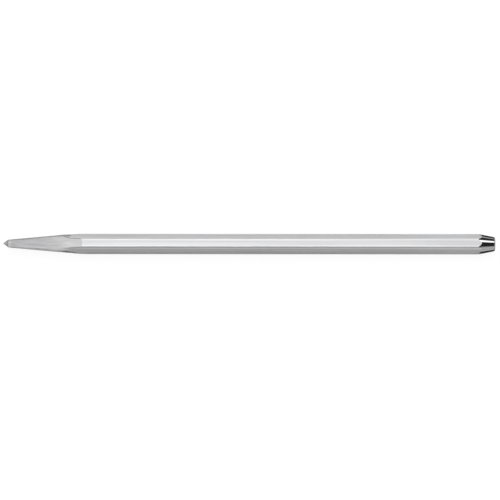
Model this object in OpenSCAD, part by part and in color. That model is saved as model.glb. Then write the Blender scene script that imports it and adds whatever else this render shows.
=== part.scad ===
// Electrician's chisel: an octagonal bar with a four-sided forged taper,
// a ground cutting point and a coned, crowned striking head.
// The tool lies along X on one flat of the bar, cutting edge at -X, head at +X.
// The cutting edge stands upright, so the point shows its V from above.
// Origin: below the middle of the length, on the plane of the lowest flat.

/* [Bar] */
// Length from the cutting edge to the crown of the striking face
total_length = 250; // [200:5:320]
// Width of the octagonal bar across its flats
across_flats = 10; // [8:0.5:14]
// How far each long edge of the bar is eased in from a sharp corner
edge_ease = 0.06; // [0.02:0.01:0.2]

/* [Cutting point] */
// Angle between the two bevels that form the cutting edge
point_angle = 70; // [50:1:90]
// Width of the taper across its faces, where the ground point starts
point_w = 3.7; // [2.4:0.1:5]
// Length of the cutting edge, from end to end
edge_w = 1.6; // [0.4:0.1:2.2]

/* [Taper] */
// Distance from the cutting edge to where the taper meets the bar
taper_length = 40.2; // [34:0.2:60]
// Distance from the cutting edge to where the corners of the taper are full
corner_full_at = 30; // [20:0.2:30]
// Distance from the cutting edge to where the corners start to rise out of the bar
corner_rise_at = 33.8; // [31:0.2:33.8]
// Radius that the corners of the taper are rounded to
corner_r = 0.5; // [0.2:0.05:0.8]

/* [Head] */
// Length of the head, crown included
head_length = 9.0; // [6:0.2:11]
// Angle between the cone of the head and the tool's axis
head_taper = 11.2; // [8:0.2:16]
// Radius of the crowned striking face
crown_r = 18; // [9:0.5:30]
// Least length of the striking face, from the end of the cone to the crown
face_length = 1.0; // [0.8:0.1:1.6]
// Radius of the rounded edge between cone and crown
face_edge_r = 0.8; // [0.2:0.05:0.8]

/* [Hidden] */
$fn = 96;

half_af = across_flats / 2;
eased_r = half_af / cos(22.5) - edge_ease;
point_len = point_w / 2 / tan(point_angle / 2);
taper_rate = (half_af - point_w / 2) / (taper_length - point_len);
// Half width of the taper at distance s from the cutting edge
function taper_half(s) = point_w / 2 + taper_rate * (s - point_len);
// Distance from the axis to the flat that rounds off the taper's corner at distance s
function corner_half(s) = taper_half(s) * sqrt(2) - corner_r * (sqrt(2) - 1);
head_at = total_length - head_length;
cone_rate = tan(head_taper);
far = 3 * across_flats;
// Half thickness of the cutting edge itself
edge_land = 0.01;
steel = [0.74, 0.74, 0.75];
satin = [0.80, 0.80, 0.81];
ground = [0.66, 0.66, 0.67];
polished = [0.86, 0.86, 0.87];

// Half outline [distance, half width], mirrored about the axis and pulled out to a prism
module prism(outline)
    linear_extrude(height = far, center = true)
        polygon(concat(outline, [for (i = [len(outline) - 1 : -1 : 0]) [outline[i][0], -outline[i][1]]]));

// Value at s of the straight line through two points [distance, half width]
function along(p, q, s) = p[1] + (q[1] - p[1]) * (s - p[0]) / (q[0] - p[0]);
// That line as an outline from a to b
function straight(p, q, a, b) = [[a, along(p, q, a)], [b, along(p, q, b)]];

point_back = [point_len, point_w / 2];
taper_back = [taper_length, half_af];
corner_top = [corner_full_at, corner_half(corner_full_at)];
corner_foot = [corner_rise_at, half_af];
past = 2;

// The rounded edge touches the cone and the crown: its centre lies edge_s past the crown's and edge_y off the axis
crown_c = total_length - crown_r;
edge_a = eased_r + (head_at - crown_c) * cone_rate - face_edge_r / cos(head_taper);
edge_q = 1 + cone_rate * cone_rate;
edge_s = (edge_a * cone_rate + sqrt(pow(edge_a * cone_rate, 2) - edge_q * (edge_a * edge_a - pow(crown_r - face_edge_r, 2)))) / edge_q;
edge_y = edge_a - cone_rate * edge_s;
edge_turn = atan2(edge_y, edge_s);
// The cone ends before the rounded edge starts
face_at = min(total_length - face_length, crown_c + edge_s + face_edge_r * sin(head_taper) - 0.02);
face_r = eased_r - (face_at - head_at) * cone_rate;
// Half outline of the striking face, [distance along the tool, radius]: rounded edge, then crown
face_outline = concat(
    [[face_at, 0], [face_at, face_r]],
    [for (i = [0 : 4]) let (a = 90 - head_taper + (edge_turn - 90 + head_taper) * i / 4)
        [crown_c + edge_s + face_edge_r * cos(a), edge_y + face_edge_r * sin(a)]],
    [for (i = [1 : 8]) let (a = edge_turn * (1 - i / 8)) [crown_c + crown_r * cos(a), crown_r * sin(a)]]);

// Four faces square to the lowest flat: one outline seen from above, one from the side
module square_faces(plan, side)
    intersection() {
        prism(plan);
        rotate([90, 0, 0]) prism(side);
    }

// Four faces between those, at 45 degrees
module corner_faces(outline)
    rotate([45, 0, 0]) square_faces(outline, outline);

// The tool between distances a and b
module between(a, b)
    intersection() {
        translate([a, -far / 2, -far / 2]) cube([b - a, far, far]);
        children();
    }

// The faces of the octagonal bar
module bar_faces() {
    outline = [[-past, half_af], [total_length + past, half_af]];
    intersection() {
        square_faces(outline, outline);
        corner_faces(outline);
    }
}

// The four faces of the taper
module taper_faces() {
    outline = straight(point_back, taper_back, 0, taper_length + past);
    square_faces(outline, outline);
}

// A round bar along X between distances a and b, with a radius at each end
module round_x(a, b, ra, rb)
    translate([a, 0, 0]) rotate([0, 90, 0]) cylinder(h = b - a, r1 = ra, r2 = rb);

// Places a piece that runs along X from the cutting edge into the tool's frame
module placed()
    translate([-total_length / 2, 0, half_af]) children();

module cutting_point()
    color(ground) placed() between(0, point_len) intersection() {
        // Two bevels meet in the cutting edge, the other two relieve its ends
        square_faces(
            straight([0, edge_land], point_back, 0, point_len + past),
            straight([0, edge_w / 2], point_back, 0, point_len + past));
        corner_faces([[-past, corner_half(point_len)], [point_len + past, corner_half(point_len)]]);
    }

module blade()
    color(steel) placed() between(point_len, corner_rise_at) intersection() {
        taper_faces();
        // Rounded corners, which rise out of the bar at the back
        corner_faces([
            [0, corner_half(0)],
            corner_top,
            [corner_rise_at + past, along(corner_top, corner_foot, corner_rise_at + past)]]);
    }

module shoulder()
    color(steel) placed() between(corner_rise_at, taper_length) intersection() {
        taper_faces();
        corner_faces([[0, half_af], [taper_length + past, half_af]]);
        round_x(0, taper_length + past, eased_r, eased_r);
    }

module shank()
    color(satin) placed() intersection() {
        bar_faces();
        round_x(taper_length, head_at, eased_r, eased_r);
    }

module head()
    color(polished) placed() intersection() {
        bar_faces();
        round_x(head_at, face_at, eased_r, face_r);
    }

module striking_face()
    color(polished) placed()
        rotate([0, 90, 0]) rotate_extrude() polygon([for (p = face_outline) [p[1], p[0]]]);

cutting_point();
blade();
shoulder();
shank();
head();
striking_face();
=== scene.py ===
import math

import bpy
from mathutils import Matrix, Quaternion, Vector


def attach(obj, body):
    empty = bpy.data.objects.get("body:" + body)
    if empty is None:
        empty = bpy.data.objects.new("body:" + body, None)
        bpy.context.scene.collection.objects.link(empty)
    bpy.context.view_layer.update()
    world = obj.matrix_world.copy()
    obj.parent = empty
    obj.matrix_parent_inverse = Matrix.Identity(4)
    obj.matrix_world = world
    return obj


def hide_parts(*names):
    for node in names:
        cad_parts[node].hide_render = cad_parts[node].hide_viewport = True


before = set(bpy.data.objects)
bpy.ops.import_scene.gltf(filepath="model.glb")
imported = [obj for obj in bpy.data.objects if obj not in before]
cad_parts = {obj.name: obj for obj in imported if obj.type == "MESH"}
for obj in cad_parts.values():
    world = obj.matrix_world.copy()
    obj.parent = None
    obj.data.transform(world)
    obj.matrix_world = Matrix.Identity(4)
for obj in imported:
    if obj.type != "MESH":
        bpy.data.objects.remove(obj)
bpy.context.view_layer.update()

MM = 0.001
SQ2 = math.sqrt(2)

# ---------------------------------------------------------------- sizes, mm
LENGTH = 250.0
HALF_AF = 5.0
HALF_CORNER = 4.92  # the four flats at 45 degrees lie a little closer in
BAR_R = 0.60  # rounding of the bar's long edges
HALF_POINT = 1.85  # half width of the taper where the ground point starts
POINT_LEN = HALF_POINT / math.tan(math.radians(35))
EDGE_HALF = 0.8  # half length of the cutting edge
TAPER_END = 40.6
HOLLOW = 0.08  # how far the taper's faces are dressed hollow ahead of the run-out
TAPER_SHIFT = 0.12  # the forged taper sits a little to the back of the bar's axis
BLADE_R = 0.5  # rounding of the taper's corners
RISE_AT, RISE_RUN, RISE_BY = 35.3, 4.7, 0.72  # where the corners rise out of the bar's flats, over what length, by how much
TWIST = math.radians(31)  # how far the two washed flats lean over before they run out
SEAM_SHOULDER = 33.8
SEAM_SHANK = 40.2
SEAM_HEAD = 240.9
CONE_AT = 240.97
CONE = math.tan(math.radians(11.2))
FACE_AT = 249.0
CROWN_R = 18.0
FACE_EDGE_R = 0.8


def mix(a, b, t):
    return a + (b - a) * t


def smooth(a, b, x):
    t = min(max((x - a) / (b - a), 0.0), 1.0)
    return t * t * (3 - 2 * t)


def soft_min(a, b, k):
    h = max(k - abs(a - b), 0.0)
    return min(a, b) - h * h / (4 * k)


# ------------------------------------------------------------ cross-sections
# A section is the distance of eight faces from the axis, at 45 degree steps
# from +Y round through +Z, how far each leans back from its step, the radius
# of the edge after each face, and the sideways shift of the whole section.
def shift(s):
    return TAPER_SHIFT * (1 - smooth(24, 43, s))


def bar_section(s):
    rate = (HALF_AF - HALF_POINT - HOLLOW) / (TAPER_END - POINT_LEN)
    u = soft_min(HALF_POINT + rate * (s - POINT_LEN) + HOLLOW * smooth(25, 34, s), HALF_AF, 0.12)
    r = mix(BLADE_R, BAR_R, smooth(27, 36, s))
    crisp = soft_min(HALF_CORNER + RISE_BY * (max(RISE_AT - s, 0.0) / RISE_RUN) ** 2, r + (u - r) * SQ2 - 0.03, 0.10)
    # the other two edges of the taper are ground sharper
    r_w = r * (1 - 0.5 * smooth(5, 9, s) * (1 - smooth(20, 28, s)))
    # a washed flat starts where the bar's own would, and leans over towards the taper's face
    lean = TWIST * smooth(18, 27, s) * (1 - smooth(30.5, 36.5, s))
    tilt = math.pi / 4 - lean
    start = SQ2 * HALF_CORNER - u + 0.05 * max(31 - s, 0.0) ** 2
    full = r_w + (u - r_w) * (math.sin(tilt) + math.cos(tilt)) - 0.03 * r_w / r
    washed = soft_min(start * math.sin(tilt) + u * math.cos(tilt), full, 0.10)
    width = (u - (washed - u * math.cos(tilt)) / math.sin(tilt)) / math.cos(tilt)
    spare = width - r_w * (math.tan(tilt / 2) + math.tan(math.pi / 4 - tilt / 2))
    soft = r_w + min(max(0.5 * spare / math.tan(tilt / 2), 0.0), 0.9) * (1 - smooth(31, 37.5, s))
    # the front face is dressed a little deeper at the run-out
    front = u - 0.16 * smooth(26, 30, s) * (1 - smooth(32.5, 38, s))
    # and its edge is crisper there
    sharp = r_w * (1 - 0.6 * smooth(24, 29, s) * (1 - smooth(33, 39, s)))
    fold = r * (1 - 0.45 * smooth(28, 31, s) * (1 - smooth(37, 42, s)))
    return [u, crisp, u, washed, front, crisp, u, washed], [0.0, 0.0, 0.0, lean] * 2, [r, fold, soft, sharp] * 2, shift(s)


def point_section(s):
    t = s / POINT_LEN
    a = mix(0.014, HALF_POINT, t)
    b = mix(EDGE_HALF, HALF_POINT, t)
    r = min(mix(0.05, BLADE_R, smooth(POINT_LEN - 0.4, POINT_LEN, s)), 0.6 * a)
    d = r + ((a - r) + (b - r)) / SQ2 - min(0.03, 0.3 * (a - r))
    return [a, d, b, d] * 2, [0.0] * 8, [r] * 8, shift(s)


ANGLES = [math.radians(45 * k) for k in range(8)]
FLAT_STEPS = (0.0, 0.03, 0.07, 0.13, 0.2, 0.27, 0.34, 0.5, 0.73, 0.8, 0.87, 0.93, 0.97)  # places across a face
ARC_STEPS = 8
# how dark the edge after each face is painted, on the blade, on the run-out and on the bar; on the bar it is painted
# shade along the outline edges
EDGE_DARKNESS = [(0.6, 1.0, 0.2), (0.6, 1.0, 0.0), (0.0, 0.1, 0.0), (0.0, 1.0, 1.0)] * 2


def edge_weight(t):
    """How near an edge a place across a face is."""
    d = min(t, 1 - t)
    return mix(0.8, 0.4, d / 0.07) if d < 0.07 else max(0.0, 0.4 * (0.13 - d) / 0.06)


def patch(s):
    """Where along the run-out the painted darkening spreads from the edges."""
    return smooth(27.5, 32.0, s) * (1 - smooth(34.5, 39.5, s))


def rolled(k, s):
    """Whether face k still shows the bar's own finish at s: the taper is ground further up two of the edges."""
    return k % 2 * (smooth(29.0, 31.5, s) if k in (1, 5) else smooth(33.0, 37.5, s))


def outline(section, s):
    """Points and normals of one section in its own plane, in order round the axis."""
    dist, lean, radii, side = section(s)
    angle = [a - b for a, b in zip(ANGLES, lean)]
    angle.append(angle[0] + 2 * math.pi)
    centres = []
    for k in range(8):
        a, b, e, f = angle[k], angle[k + 1], dist[k], dist[(k + 1) % 8]
        w, m, q = math.sin(b - a), (a + b) / 2, radii[k] / math.cos((b - a) / 2)
        y, z = (e * math.sin(b) - f * math.sin(a)) / w, (f * math.cos(a) - e * math.cos(b)) / w
        centres.append((y - q * math.cos(m) + side, z - q * math.sin(m)))
    points, normals = [], []
    for k in range(8):
        n = (math.cos(angle[k]), math.sin(angle[k]))
        start, end = ([centres[i][j] + radii[i] * n[j] for j in (0, 1)] for i in (k - 1, k))
        for t in FLAT_STEPS:
            points.append((mix(start[0], end[0], t), mix(start[1], end[1], t)))
            normals.append(n)
        for j in range(ARC_STEPS):
            b = mix(angle[k], angle[k + 1], j / ARC_STEPS)
            m = (math.cos(b), math.sin(b))
            points.append((centres[k][0] + radii[k] * m[0], centres[k][1] + radii[k] * m[1]))
            normals.append(m)
    return points, normals


def ring(section, s, lo, hi):
    """Points, normals and weights of one section, in order round the axis.

    The weights say how near an edge a point is, whether it shows the bar's
    own finish, how dark it is painted (on the bar and the point, painted shade) and how much painted shade the
    run-out's side faces take; below nothing it paints them lighter."""
    s0, s1 = max(s - 0.02, lo), min(s + 0.02, hi)
    (flat, sideways), (before, _), (behind, _) = (outline(section, x) for x in (s, s0, s1))
    points = [(s, y, z) for y, z in flat]
    normals = []
    for n, p, q in zip(sideways, before, behind):
        slope = ((q[0] - p[0]) * n[0] + (q[1] - p[1]) * n[1]) / (s1 - s0)
        normals.append(Vector((-slope, n[0], n[1])).normalized())
    weights = []
    for k in range(8):
        last, darkening_after = (mix(mix(*EDGE_DARKNESS[i][:2], smooth(26, 31, s)), EDGE_DARKNESS[i][2], smooth(38, 43, s)) for i in (k - 1, k))
        for t in FLAT_STEPS:
            near, painted_shade = edge_weight(t), 0.0
            darkening = near ** 3 * (last if t < 0.5 else darkening_after)
            if section is point_section:
                darkening = max(0.0, 1 - 8 * min(t, 1 - t)) if k in (2, 6) else 1.0
            elif k in (1, 5):
                darkening = max(darkening, smooth(28.5, 31.0, s) * (1 - smooth(33.2, 35.2, s)) * max(0.0, min(1.0, 1.4 - 2.2 * t)))
            elif k in (0, 4):
                # painted shade: the run-out's side faces darker, the front one most
                low = min(0.1 + 3 * t, 1.0) * (1 - 0.6 * smooth(0.6, 1.0, t))
                painted_shade = smooth(27.5, 32.0, s) * (1 - smooth(35.0, 40.0, s)) * mix(low, 1 - 0.3 * t, smooth(31.5, 33.5, s)) * (1.0 if k == 4 else 0.7)
                # below nothing where it paints the blade's side faces lighter
                painted_shade -= 0.25 * smooth(4, 8, s) * (1 - smooth(26, 30, s))
                # on the bar, painted shade darkens both side faces
                darkening = 0.5 * smooth(38, 43, s)
            elif k in (3, 7):
                # a painted highlight line beside the upper edge; on the bar, painted shade at the upper edge and more
                # towards the lower one
                near = max(0.0, min(0.5, 0.9 - 8 * abs(t - 0.235)))
                darkening = max(darkening, smooth(38, 43, s) * (0.3 * max(0.0, 1 - 8 * t) + 0.35 * smooth(0.7, 1.0, t)))
            weights.append((near, rolled(k, s), darkening, painted_shade))
        for j in range(ARC_STEPS):
            near = 0.8 if j == 0 else 1.0
            darkening = max(near * near, patch(s))
            # the edges after faces 3 and 7 are painted darker from the run-out on; on the bar this is painted shade
            # along the lower outline
            if k in (3, 7):
                darkening = max(smooth(0.3, 0.9, j / ARC_STEPS) * smooth(31.5, 33.5, s), 0.6 * smooth(38, 43, s))
            elif k in (1, 5):
                darkening *= mix(0.55, 1.0, smooth(29.5, 31.5, s)) * (1 - smooth(33.2, 34.6, s) * mix(0.75, 0.4, smooth(35.0, 36.8, s)))
            weights.append((near, rolled(k, s) if j == 0 else 0, 1.0 if section is point_section else darkening * darkening_after, 0.0))
    return points, normals, weights


# -------------------------------------------------------------------- meshes
def lay_out(rows, row_mats, folds):
    """A flat map of a piece: bands along the tool that each hold a share of its girth, and the end caps beside them."""
    n, gap, room = len(rows[0][0]), 0.012, 0.9 / folds
    along = [sum(p[0] for p in points) / n for points, _, _ in rows]
    girth = []
    for points, _, _ in rows:
        run = [0.0]
        for j in range(n):
            run.append(run[-1] + (Vector(points[(j + 1) % n]) - Vector(points[j])).length)
        girth.append(run)
    kinds = row_mats[: len(rows) - 1] if row_mats else [0] * (len(rows) - 1)
    share, wide = n // folds, room - gap * (1 + max(kinds))
    flat = []
    for i in range(len(rows) - 1):
        for j in range(n):
            band = j // share
            for row, col in ((i, j), (i, j + 1), (i + 1, j + 1), (i + 1, j)):
                first, last = girth[row][band * share], girth[row][(band + 1) * share]
                flat.append(room * band + gap * (kinds[i] + 0.5) + wide * (along[row] - along[0]) / (along[-1] - along[0]))
                flat.append(mix(0.005, 0.995, (girth[row][col] - first) / (last - first)))
    for middle, turn in ((0.25, 1), (0.75, 0)):
        for j in range(n):
            flat += [0.955, middle]
            for col in (j + turn, j + 1 - turn):
                a = 2 * math.pi * col / n
                flat += [0.955 + 0.035 * math.cos(a), middle + 0.035 * math.sin(a)]
    return flat


def build(name, rows, mats, row_mats=None, pole=None, folds=1):
    """A closed piece from rings of equal count; the ends are capped, or closed on a pole."""
    n = len(rows[0][0])
    verts, vnorm, weights = [], [], []
    for points, normals, w in rows:
        verts += points
        vnorm += normals
        weights += w
    faces, fnorm, fmat = [], [], []
    for i in range(len(rows) - 1):
        for j in range(n):
            k = (j + 1) % n
            f = (i * n + j, i * n + k, (i + 1) * n + k, (i + 1) * n + j)
            faces.append(f)
            fnorm.append([vnorm[v] for v in f])
            fmat.append(row_mats[i] if row_mats else 0)
    for at, tip in ((0, None), (len(rows) - 1, pole)):
        base = at * n
        pts = rows[at][0]
        c = len(verts)
        verts.append(tip or (pts[0][0], sum(p[1] for p in pts) / n, sum(p[2] for p in pts) / n))
        outward = Vector((-1 if at == 0 else 1, 0, 0))
        vnorm.append(outward)
        weights.append((0, 0, 0, 0))
        for j in range(n):
            k = (j + 1) % n
            f = (c, base + k, base + j) if at == 0 else (c, base + j, base + k)
            faces.append(f)
            fnorm.append([vnorm[v] for v in f] if tip else [outward] * 3)
            fmat.append(row_mats[-1] if row_mats and at else 0)
    me = bpy.data.meshes.new(name)
    me.from_pydata([((x - LENGTH / 2) * MM, y * MM, (z + HALF_AF) * MM) for x, y, z in verts], [], faces)
    if not pole:
        me.uv_layers.new(name="OFBake").data.foreach_set("uv", lay_out(rows, row_mats, folds))
    for m in mats:
        me.materials.append(m)
    for p, m in zip(me.polygons, fmat):
        p.material_index = m
        p.use_smooth = True
    for i, key in enumerate(("edge_nearness", "rolled", "dark_edges_and_shade", "painted_shade")):
        at = me.attributes.new(key, "FLOAT", "POINT")
        at.data.foreach_set("value", [float(w[i]) for w in weights])
    me.validate()
    me.normals_split_custom_set([tuple(v) for f in fnorm for v in f])
    ob = bpy.data.objects.new(name, me)
    bpy.context.scene.collection.objects.link(ob)
    return ob


def spaced(a, b, step):
    n = max(1, round((b - a) / step))
    return [mix(a, b, i / n) for i in range(n + 1)]


# ----------------------------------------------------------------- materials
class Shader:
    """A small helper for building a node material."""

    def __init__(self, name):
        self.mat = bpy.data.materials.new(name)
        self.mat.use_nodes = True
        self.nodes, self.links = self.mat.node_tree.nodes, self.mat.node_tree.links
        self.bsdf = self.nodes["Principled BSDF"]
        self.coord = self.nodes.new("ShaderNodeTexCoord").outputs["Object"]

    def node(self, kind, **props):
        n = self.nodes.new(kind)
        for k, v in props.items():
            setattr(n, k, v)
        return n

    def put(self, socket, value):
        if hasattr(value, "is_output"):
            self.links.new(value, socket)
        else:
            socket.default_value = value

    def math(self, op, a, b=0.0):
        n = self.node("ShaderNodeMath", operation=op)
        self.put(n.inputs[0], a)
        self.put(n.inputs[1], b)
        return n.outputs[0]

    def ramp(self, x, lo, hi, to_lo=0.0, to_hi=1.0):
        n = self.node("ShaderNodeMapRange", interpolation_type="SMOOTHSTEP")
        for i, v in enumerate((x, lo, hi, to_lo, to_hi)):
            self.put(n.inputs[i], v)
        return n.outputs[0]

    def noise(self, cell, detail=2.0, offset=(0, 0, 0)):
        """Noise whose cells measure cell[0..2] millimetres along X, Y and Z."""
        m = self.node("ShaderNodeMapping")
        self.links.new(self.coord, m.inputs["Vector"])
        m.inputs["Scale"].default_value = [1 / (c * MM) for c in cell]
        m.inputs["Location"].default_value = offset
        n = self.node("ShaderNodeTexNoise")
        self.links.new(m.outputs[0], n.inputs["Vector"])
        n.inputs["Scale"].default_value = 1.0
        n.inputs["Detail"].default_value = detail
        n.inputs["Roughness"].default_value = 0.55
        return n.outputs[0]

    def along(self, a, b, at_a, at_b):
        """A value that changes with the distance from the cutting edge, in millimetres."""
        n = self.node("ShaderNodeSeparateXYZ")
        self.links.new(self.coord, n.inputs[0])
        return self.ramp(n.outputs[0], (a - LENGTH / 2) * MM, (b - LENGTH / 2) * MM, at_a, at_b)

    def weight(self, key):
        return self.node("ShaderNodeAttribute", attribute_name=key).outputs["Fac"]

    def blend(self, a, b, t):
        return self.math("ADD", a, self.math("MULTIPLY", self.math("SUBTRACT", b, a), t))

    def grey(self, value, tint=(1.0, 1.0, 1.01)):
        n = self.node("ShaderNodeCombineColor")
        for i in range(3):
            self.put(n.inputs[i], self.math("MULTIPLY", value, tint[i]))
        return n.outputs[0]

    def bump(self, height, distance, strength, before=None):
        n = self.node("ShaderNodeBump")
        n.inputs["Strength"].default_value = strength
        n.inputs["Distance"].default_value = distance
        self.links.new(height, n.inputs["Height"])
        if before:
            self.links.new(before, n.inputs["Normal"])
        return n.outputs[0]

    def finish(self, base, rough, normal=None):
        self.bsdf.inputs["Metallic"].default_value = 1.0
        self.put(self.bsdf.inputs["Base Color"], base)
        self.put(self.bsdf.inputs["Roughness"], rough)
        if normal:
            self.links.new(normal, self.bsdf.inputs["Normal"])
        return self.mat


def add(sh, *terms):
    total = terms[0]
    for t in terms[1:]:
        total = sh.math("ADD", total, t)
    return total


def around(sh, noise, amount):
    """Noise as a swing of amount either side of nothing."""
    return sh.math("MULTIPLY", sh.math("SUBTRACT", noise, 0.5), 2 * amount)


def satin_finish(sh):
    """Base and roughness of the plated bar, with its drawing lines and a painted highlight along its edges."""
    drawn = sh.noise((22.0, 0.16, 0.16), 3.0, (3.1, 7.7, 1.9))
    bands = sh.noise((90.0, 0.75, 0.75), 1.0, (1.3, 4.1, 9.2))
    cloud = sh.noise((28.0, 9.0, 9.0), 3.0, (5.2, 0.4, 2.6))
    edge_nearness = sh.weight("edge_nearness")
    # painted highlight: a brighter strip just inside each edge of the flats
    painted_edge_highlight = sh.math("MULTIPLY", sh.ramp(edge_nearness, 0.0, 0.4), sh.ramp(edge_nearness, 0.6, 0.95, 1.0, 0.0))
    base = add(sh, sh.along(200.0, 235.0, 0.62, 0.67), around(sh, cloud, 0.02), around(sh, bands, 0.11), around(sh, drawn, 0.025), sh.math("MULTIPLY", painted_edge_highlight, 0.14))
    rough = add(sh, sh.along(200.0, 235.0, 0.67, 0.78), around(sh, cloud, 0.03), around(sh, drawn, 0.05), sh.math("MULTIPLY", edge_nearness, -0.05))
    return base, rough, drawn


def satin_bar():
    sh = Shader("satin_bar")
    base, rough, drawn = satin_finish(sh)
    grain = sh.noise((0.10, 0.06, 0.06), 2.0)
    normal = sh.bump(drawn, 0.00002, 0.10, sh.bump(grain, 0.00002, 0.12))
    # painted shade: the bar darker along its outline edges and on its side faces
    base = add(sh, base, sh.math("MULTIPLY", sh.weight("dark_edges_and_shade"), -0.22))
    return sh.finish(sh.grey(base), rough, normal)


def forged_blade():
    """Ground taper faces; the bar's own flats run on into the run-out, and the edges are painted darker."""
    sh = Shader("forged_blade")
    grain = sh.noise((0.16, 0.07, 0.07), 2.0, (2.2, 1.1, 0.3))
    lines = sh.noise((9.0, 0.13, 0.13), 4.0, (6.1, 2.7, 8.9))
    bands = sh.noise((14.0, 0.8, 0.8), 1.5, (0.8, 3.3, 5.5))
    cloud = sh.noise((10.0, 3.5, 3.5), 3.0, (7.4, 6.2, 1.5))
    satin, satin_rough, drawn = satin_finish(sh)
    bar = sh.weight("rolled")
    # painted darkening along the edges and on the run-out, faded out before the bar
    dark_edges_and_shade = sh.math("MULTIPLY", sh.weight("dark_edges_and_shade"), sh.along(39.0, 40.2, 1.0, 0.0))
    base = add(sh, sh.along(3.6, 4.6, 0.06, 0.0), sh.along(4.0, 30.0, 0.60, 0.61), sh.along(SEAM_SHANK - 0.8, SEAM_SHANK - 0.3, 0.0, -0.04), around(sh, cloud, 0.03), around(sh, bands, 0.13), around(sh, lines, 0.07))
    streaks = sh.noise((6.0, 0.55, 0.55), 3.0, (2.9, 5.6, 0.7))
    blotch = sh.noise((3.0, 2.2, 2.2), 2.0, (4.8, 1.6, 3.7))
    # painted shade on the run-out's side faces, broken into streaks; where the weight is below nothing it paints the
    # blade's side faces lighter
    shade_and_light_weight = sh.weight("painted_shade")
    painted_shade = sh.ramp(add(sh, shade_and_light_weight, around(sh, streaks, 0.55), around(sh, blotch, 0.35)), 0.25, 0.95)
    painted_shade = sh.math("MULTIPLY", painted_shade, sh.ramp(shade_and_light_weight, 0.0, 0.2))
    base = add(sh, sh.blend(base, satin, bar), sh.math("MULTIPLY", dark_edges_and_shade, -0.52), sh.math("MULTIPLY", painted_shade, -0.30), sh.math("MULTIPLY", sh.math("MINIMUM", shade_and_light_weight, 0.0), -0.32))
    # the painted shade also darkens the reflection at grazing angles
    sh.put(sh.bsdf.inputs["Specular Tint"], sh.grey(sh.math("SUBTRACT", 1.0, sh.math("MULTIPLY", painted_shade, 0.9)), (1, 1, 1)))
    rough = sh.blend(add(sh, sh.along(16.0, 38.0, 0.86, 0.74), around(sh, cloud, 0.04), around(sh, lines, 0.05)), satin_rough, bar)
    rough = sh.blend(rough, 0.34, painted_shade)
    normal = sh.bump(lines, 0.00003, 0.18, sh.bump(grain, 0.00002, 0.15))
    return sh.finish(sh.grey(base), rough, normal)


def ground_edge():
    sh = Shader("ground_edge")
    lines = sh.noise((0.05, 0.05, 1.6), 3.0, (4.4, 8.8, 2.2))
    cloud = sh.noise((1.2, 0.8, 0.8), 2.0, (1.7, 2.9, 6.3))
    # painted shade: the point darker along the edges of its top and bottom faces, on its other faces and just before
    # the crease with the blade
    painted_point_shade = add(sh, sh.math("MULTIPLY", sh.weight("dark_edges_and_shade"), -0.16), sh.along(POINT_LEN - 0.9, POINT_LEN - 0.2, 0.0, -0.12))
    base = add(sh, 0.54, around(sh, cloud, 0.04), around(sh, lines, 0.05), painted_point_shade)
    rough = add(sh, 0.40, around(sh, lines, 0.08))
    normal = sh.bump(lines, 0.00002, 0.20)
    return sh.finish(sh.grey(base), rough, normal)


def polished_head():
    sh = Shader("polished_head")
    rings = sh.noise((0.07, 40.0, 40.0), 2.0, (9.3, 0.6, 4.7))
    cloud = sh.noise((2.5, 2.5, 2.5), 2.0, (3.9, 7.1, 0.2))
    base = add(sh, 0.62, around(sh, rings, 0.02), around(sh, cloud, 0.015))
    rough = add(sh, 0.07, around(sh, cloud, 0.03), around(sh, rings, 0.02))
    normal = sh.bump(rings, 0.00001, 0.06)
    return sh.finish(sh.grey(base), rough, normal)


def polished_face():
    sh = Shader("polished_face")
    split = sh.node("ShaderNodeSeparateXYZ")
    sh.links.new(sh.coord, split.inputs[0])
    y, z = split.outputs[1], sh.math("SUBTRACT", split.outputs[2], HALF_AF * MM)
    radius = sh.math("SQRT", sh.math("ADD", sh.math("MULTIPLY", y, y), sh.math("MULTIPLY", z, z)))
    line = sh.node("ShaderNodeTexNoise", noise_dimensions="1D")
    line.inputs["Scale"].default_value = 1.0
    line.inputs["Detail"].default_value = 2.0
    sh.links.new(sh.math("MULTIPLY", radius, 1 / (0.09 * MM)), line.inputs["W"])
    rings = line.outputs[0]
    cloud = sh.noise((1.5, 1.5, 1.5), 2.0, (8.1, 3.4, 6.6))
    base = add(sh, 0.60, around(sh, rings, 0.03), around(sh, cloud, 0.02))
    rough = add(sh, 0.12, around(sh, cloud, 0.04), around(sh, rings, 0.03))
    normal = sh.bump(rings, 0.00001, 0.12)
    return sh.finish(sh.grey(base), rough, normal)


SATIN, BLADE, GROUND, HEAD, FACE = satin_bar(), forged_blade(), ground_edge(), polished_head(), polished_face()


# -------------------------------------------------------------------- pieces
def placed(ob, node):
    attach(ob, "root")
    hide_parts(node)
    return ob


def lengthwise(name, section, stations, mats, folds=1):
    lo, hi = stations[0], stations[-1]
    return build(name, [ring(section, s, lo, hi) for s in stations], mats, folds=folds)


point_rows = [0, 0.04, 0.15, 0.5, 1.0, 1.5, 2.0] + [POINT_LEN - x for x in (0.4, 0.3, 0.2, 0.1, 0.04, 0)]
placed(lengthwise("cutting_point_ground", point_section, point_rows, [GROUND], 4), "cutting_point")
blade_rows = spaced(POINT_LEN, 27.5, 1.0)[:-1] + spaced(27.5, SEAM_SHOULDER, 0.2)
placed(lengthwise("blade_forged", bar_section, blade_rows, [BLADE]), "blade")
placed(lengthwise("shoulder_runout", bar_section, spaced(SEAM_SHOULDER, SEAM_SHANK, 0.3), [BLADE], 2), "shoulder")
placed(lengthwise("shank_octagon", bar_section, spaced(SEAM_SHANK, SEAM_HEAD, 4.0), [SATIN]), "shank")

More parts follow.
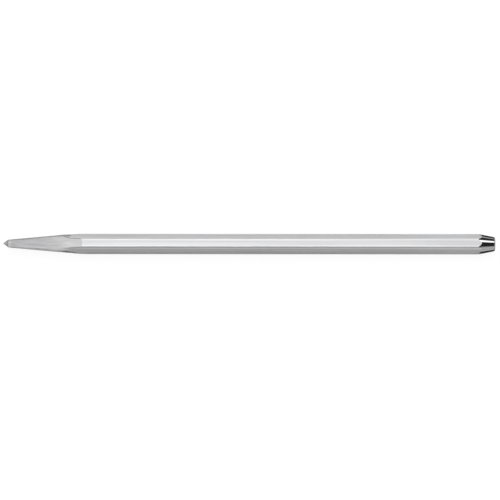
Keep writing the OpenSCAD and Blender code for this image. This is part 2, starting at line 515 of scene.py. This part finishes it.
end_points, end_normals, end_weights = ring(bar_section, SEAM_HEAD, SEAM_HEAD - 1, SEAM_HEAD)
polar = [math.atan2(p[2], p[1]) for p in end_points]
radius = [math.hypot(p[1], p[2]) for p in end_points]
CONE_R = max(radius)
crease = [CONE_AT + (CONE_R - r) / CONE for r in radius]
cone_axis = Vector((CONE, 1.0)).normalized()


def head_row(stations, on_cone):
    points, normals, weights = [], [], []
    for j, s in enumerate(stations):
        if on_cone:
            r = CONE_R - (s - CONE_AT) * CONE
            points.append((s, r * math.cos(polar[j]), r * math.sin(polar[j])))
            normals.append(Vector((cone_axis[0], cone_axis[1] * math.cos(polar[j]), cone_axis[1] * math.sin(polar[j]))))
            weights.append((0, 0, 0, 0))
        else:
            points.append((s, end_points[j][1], end_points[j][2]))
            normals.append(end_normals[j])
            weights.append(end_weights[j])
    return points, normals, weights


BREAK = 0.07
head_rows = [head_row([mix(SEAM_HEAD, c - BREAK, t) for c in crease], False) for t in (0, 0.5, 1)]
head_rows += [head_row([mix(c + BREAK, FACE_AT, t) for c in crease], True) for t in (0, 0.1, 0.3, 0.55, 0.8, 1)]
placed(build("head_cone", head_rows, [SATIN, HEAD], [0, 0] + [1] * 6, folds=2), "head")

# the striking face: a rounded edge, then a shallow crown
crown_c = LENGTH - CROWN_R
face_r = CONE_R - (FACE_AT - CONE_AT) * CONE
tilt = math.atan(CONE)
a_ = face_r + (FACE_AT - crown_c) * CONE - FACE_EDGE_R / math.cos(tilt)
q_ = 1 + CONE * CONE
s_ = (a_ * CONE + math.sqrt((a_ * CONE) ** 2 - q_ * (a_ * a_ - (CROWN_R - FACE_EDGE_R) ** 2))) / q_
y_ = a_ - CONE * s_
turn = math.atan2(y_, s_)
profile = [(FACE_AT, face_r, math.pi / 2 - tilt)]
for i in range(9):
    b = mix(math.pi / 2 - tilt, turn, i / 8)
    profile.append((crown_c + s_ + FACE_EDGE_R * math.cos(b), y_ + FACE_EDGE_R * math.sin(b), b))
for i in range(1, 10):
    b = turn * (1 - i / 10)
    profile.append((crown_c + CROWN_R * math.cos(b), CROWN_R * math.sin(b), b))
face_rows = [
    (
        [(s, r * math.cos(p), r * math.sin(p)) for p in polar],
        [Vector((math.cos(b), math.sin(b) * math.cos(p), math.sin(b) * math.sin(p))) for p in polar],
        [(0, 0, 0, 0)] * len(polar),
    )
    for s, r, b in profile
]
placed(build("striking_face_crown", face_rows, [FACE], [0] * (len(face_rows) - 1), pole=(LENGTH, 0, 0)), "striking_face")

# --------------------------------------------------------------------- stage
scene = bpy.context.scene
me = bpy.data.meshes.new("floor")
w = 6.0
me.from_pydata([(-w, -w, -0.00005), (w, -w, -0.00005), (w, w, -0.00005), (-w, w, -0.00005)], [], [(0, 1, 2, 3)])
floor = bpy.data.objects.new("floor", me)
scene.collection.objects.link(floor)
fm = bpy.data.materials.new("pale_floor")
fm.use_nodes = True
fn, fl = fm.node_tree.nodes, fm.node_tree.links
fn.clear()
paper = fn.new("ShaderNodeBsdfDiffuse")
paper.inputs["Color"].default_value = (0.10, 0.10, 0.10, 1)
glow = fn.new("ShaderNodeEmission")
lit = fn.new("ShaderNodeAddShader")
fl.new(paper.outputs[0], lit.inputs[0])
fl.new(glow.outputs[0], lit.inputs[1])
white = fn.new("ShaderNodeBsdfDiffuse")
place = fn.new("ShaderNodeTexCoord")
where = fn.new("ShaderNodeSeparateXYZ")
fl.new(place.outputs["Object"], where.inputs[0])


def step(socket, lo, hi, to_lo, to_hi):
    n = fn.new("ShaderNodeMapRange")
    n.interpolation_type = "SMOOTHSTEP"
    for i, v in enumerate((lo, hi, to_lo, to_hi)):
        n.inputs[i + 1].default_value = v
    fl.new(socket, n.inputs[0])
    return n.outputs[0]


def calc(op, a, b):
    n = fn.new("ShaderNodeMath")
    n.operation = op
    for i, v in enumerate((a, b)):
        if hasattr(v, "is_output"):
            fl.new(v, n.inputs[i])
        else:
            n.inputs[i].default_value = v
    return n.outputs[0]


# a dark card lies on either side of the head, to edge its reflection
aside = calc("ABSOLUTE", where.outputs[1], 0.0)
reach = calc("ABSOLUTE", calc("SUBTRACT", where.outputs[1], 0.013), 0.0)
card = calc("MULTIPLY", step(where.outputs[0], 0.116, 0.121, 0.0, 1.0), step(where.outputs[0], 0.145, 0.155, 1.0, 0.0))
card = calc("MULTIPLY", card, calc("MULTIPLY", step(aside, 0.0055, 0.0075, 0.0, 1.0), step(reach, 0.037, 0.049, 1.0, 0.0)))
fl.new(calc("SUBTRACT", 0.74, calc("MULTIPLY", card, 0.71)), white.inputs["Color"])
# the floor glows less close to the tool, a painted shadow round it, so that its contact shadow shows
near = calc("MULTIPLY", step(aside, 0.02, 0.10, 1.0, 0.0), step(calc("ABSOLUTE", where.outputs[0], 0.0), 0.13, 0.21, 1.0, 0.0))
fl.new(calc("SUBTRACT", 0.98, calc("MULTIPLY", near, 0.065)), glow.inputs["Strength"])
path = fn.new("ShaderNodeLightPath")
choose = fn.new("ShaderNodeMixShader")
fl.new(path.outputs["Is Camera Ray"], choose.inputs[0])
fl.new(white.outputs[0], choose.inputs[1])
fl.new(lit.outputs[0], choose.inputs[2])
surface = fn.new("ShaderNodeOutputMaterial")
fl.new(choose.outputs[0], surface.inputs[0])
me.materials.append(fm)


def softbox(name, where, target, wide, high, radiance):
    data = bpy.data.lights.new(name, "AREA")
    data.shape = "RECTANGLE"
    data.size, data.size_y = wide, high
    data.energy = radiance * math.pi * wide * high
    ob = bpy.data.objects.new(name, data)
    ob.location = where
    ob.rotation_mode = "QUATERNION"
    ob.rotation_quaternion = (Vector(target) - Vector(where)).to_track_quat("-Z", "Y")
    ob.visible_camera = False
    scene.collection.objects.link(ob)
    return ob


# degrees round the tool's axis are counted from the front, through overhead, to the back
key, end = math.radians(113), math.radians(122.5)
softbox("key_softbox", (-0.1, -math.cos(key) * 0.75, math.sin(key) * 0.75), (-0.1, 0, 0.005), 0.98, 1.05, 2.7)
softbox("end_softbox", (0.51, -math.cos(end) * 0.9, math.sin(end) * 0.9), (0.51, 0, 0.005), 0.30, 0.40, 1.7)
softbox("front_fill", (0.27, -0.25, 0.11), (0.27, 0, 0.11), 0.36, 0.21, 0.20)

world = bpy.data.worlds.new("studio")
scene.world = world
world.use_nodes = True
wn, wl = world.node_tree.nodes, world.node_tree.links
wn.clear()
coord = wn.new("ShaderNodeTexCoord")
split = wn.new("ShaderNodeSeparateXYZ")
wl.new(coord.outputs["Generated"], split.inputs[0])
flip = wn.new("ShaderNodeMath")
flip.operation = "MULTIPLY"
flip.inputs[1].default_value = -1
wl.new(split.outputs[1], flip.inputs[0])
angle = wn.new("ShaderNodeMath")
angle.operation = "ARCTAN2"
wl.new(split.outputs[2], angle.inputs[0])
wl.new(flip.outputs[0], angle.inputs[1])
turns = wn.new("ShaderNodeMath")
turns.operation = "MULTIPLY_ADD"
turns.inputs[1].default_value = 1 / (2 * math.pi)
turns.inputs[2].default_value = 0.5
wl.new(angle.outputs[0], turns.inputs[0])
walls = wn.new("ShaderNodeValToRGB")
walls.color_ramp.interpolation = "EASE"
STOPS = [(-180, 0.03), (-1, 0.32), (8, 0.32), (38, 0.42), (48, 0.30), (59, 0.02), (172.5, 0.04), (178.5, 0.44), (180, 0.44)]
while len(walls.color_ramp.elements) < len(STOPS):
    walls.color_ramp.elements.new(0.5)
for e, (deg, v) in zip(walls.color_ramp.elements, STOPS):
    e.position = (deg + 180) / 360
    e.color = (v, v, v, 1)
wl.new(turns.outputs[0], walls.inputs[0])
side = wn.new("ShaderNodeMath")
side.operation = "ABSOLUTE"
wl.new(split.outputs[0], side.inputs[0])
sides = wn.new("ShaderNodeMapRange")
sides.interpolation_type = "SMOOTHSTEP"
sides.inputs[1].default_value, sides.inputs[2].default_value = 0.5, 0.75
wl.new(side.outputs[0], sides.inputs[0])
room = wn.new("ShaderNodeMix")
room.data_type = "RGBA"
wl.new(sides.outputs[0], room.inputs[0])
wl.new(walls.outputs[0], room.inputs[6])
room.inputs[7].default_value = (0.45, 0.45, 0.45, 1)
seen = wn.new("ShaderNodeLightPath")
pick = wn.new("ShaderNodeMix")
pick.data_type = "RGBA"
wl.new(seen.outputs["Is Camera Ray"], pick.inputs[0])
wl.new(room.outputs[2], pick.inputs[6])
pick.inputs[7].default_value = (0.98, 0.98, 0.98, 1)
back = wn.new("ShaderNodeBackground")
wl.new(pick.outputs[2], back.inputs[0])
out = wn.new("ShaderNodeOutputWorld")
wl.new(back.outputs[0], out.inputs[0])

# -------------------------------------------------------------------- camera
PX = LENGTH / 492.0 * MM  # metres to a pixel of the 500 pixel frame
cam = bpy.data.objects.new("camera", bpy.data.cameras.new("camera"))
cam.data.lens, cam.data.sensor_width = 170.0, 36.0
e = math.radians(83.0)
away, up = Vector((0, -math.cos(e), math.sin(e))), Vector((0, math.sin(e), math.cos(e)))
aim = Vector((0.7 * PX, 0, HALF_AF * MM)) - up * (5.95 * PX)
cam.location = aim + away * (500 * PX * cam.data.lens / cam.data.sensor_width)
cam.rotation_mode = "QUATERNION"
cam.rotation_quaternion = (-away).to_track_quat("-Z", "Y") @ Quaternion((0, 0, 1), math.radians(0.045))
cam.data.clip_start, cam.data.clip_end = 0.01, 50
scene.collection.objects.link(cam)
scene.camera = cam
scene.view_settings.view_transform = "Standard"
